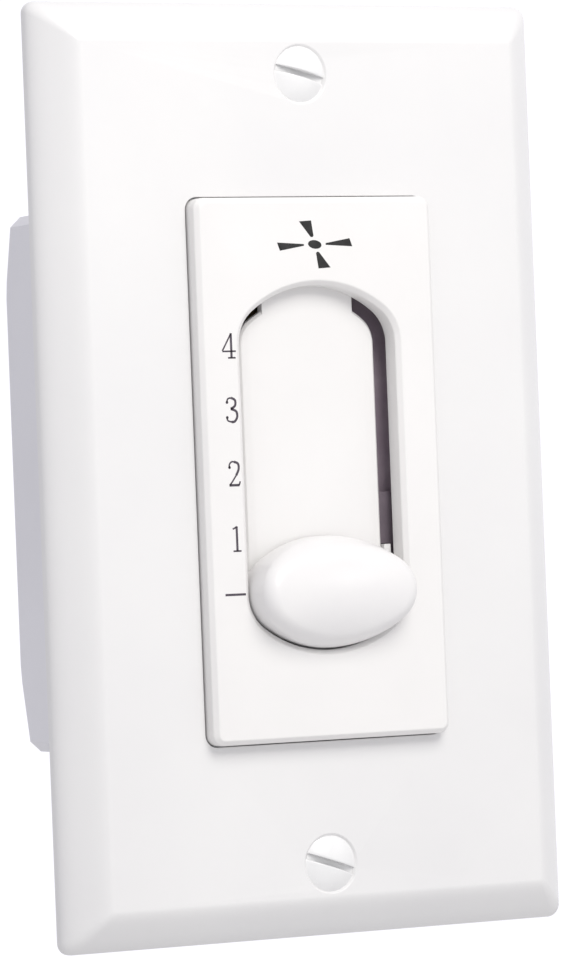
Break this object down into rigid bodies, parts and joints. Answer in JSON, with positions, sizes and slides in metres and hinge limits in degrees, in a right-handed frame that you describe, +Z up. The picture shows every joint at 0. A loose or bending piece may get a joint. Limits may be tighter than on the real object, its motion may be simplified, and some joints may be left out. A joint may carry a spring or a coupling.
{
  "type": "fan speed control switch",
  "caption": "White wall-mounted slide switch that sets a ceiling fan's speed, with an oval knob, screwed wall plate, steel strap and deep rear housing.",
  "frame": {"origin": "centre of the wall plate's back, in the wall's surface, midway between the two box screws", "axes": "+X to the right seen from the front, +Y back into the wall, +Z up along the plate"},
  "size_m": [0.07, 0.0464, 0.115],
  "materials": {
    "plate_plastic": "smooth white satin gloss",
    "insert_plastic": "smooth white satin gloss",
    "knob_plastic": "smooth white gloss",
    "white_screw": "white painted steel",
    "plated_steel": "zinc plated, fine rolled grain",
    "fibre_sheet": "dull black pressed fibre",
    "dark_plastic": "moulded, slightly glossy",
    "spring_steel": "bright rolled strip",
    "bronze": "polished phosphor bronze strip",
    "rivet_steel": "tumbled and plated",
    "board_laminate": "brown phenolic laminate",
    "brass_contact": "stamped, polished contact face",
    "capacitor_case": "grey filled epoxy in a moulded case",
    "tinned_wire": "tinned copper, dull bright",
    "resistor_body": "tan lacquer over ceramic",
    "tinned_eyelet": "tinned brass",
    "housing_plastic": "fine matt moulded grey white",
    "zinc_screw": "bright zinc plated"
  },
  "bodies": {
    "base": {"wall_plate": "plate_plastic", "plate_screws": "white_screw", "mounting_strap": "plated_steel", "face_insert": "insert_plastic", "insulating_sheet": "fibre_sheet", "circuit_board": "board_laminate", "contact_rail": "brass_contact", "speed_contacts": "brass_contact", "large_capacitor": "capacitor_case", "small_capacitor": "capacitor_case", "capacitor_leads": "tinned_wire", "bleed_resistors": "resistor_body", "resistor_leads": "tinned_wire", "lead_eyelets": "tinned_eyelet", "rear_housing": "housing_plastic", "housing_screws": "zinc_screw", "board_screws": "zinc_screw", "earth_rivet": "rivet_steel"},
    "slider": {"slide_knob": "knob_plastic", "slide_carriage": "dark_plastic", "detent_springs": "spring_steel", "contact_wiper": "bronze", "wiper_rivets": "rivet_steel"}
  },
  "joints": [
    {"name": "knob_slide", "type": "slide", "parent": "base", "child": "slider", "axis": [0, 0, 1], "range_m": [0, 0.0304], "deforming": ["detent_springs"]}
  ]
}
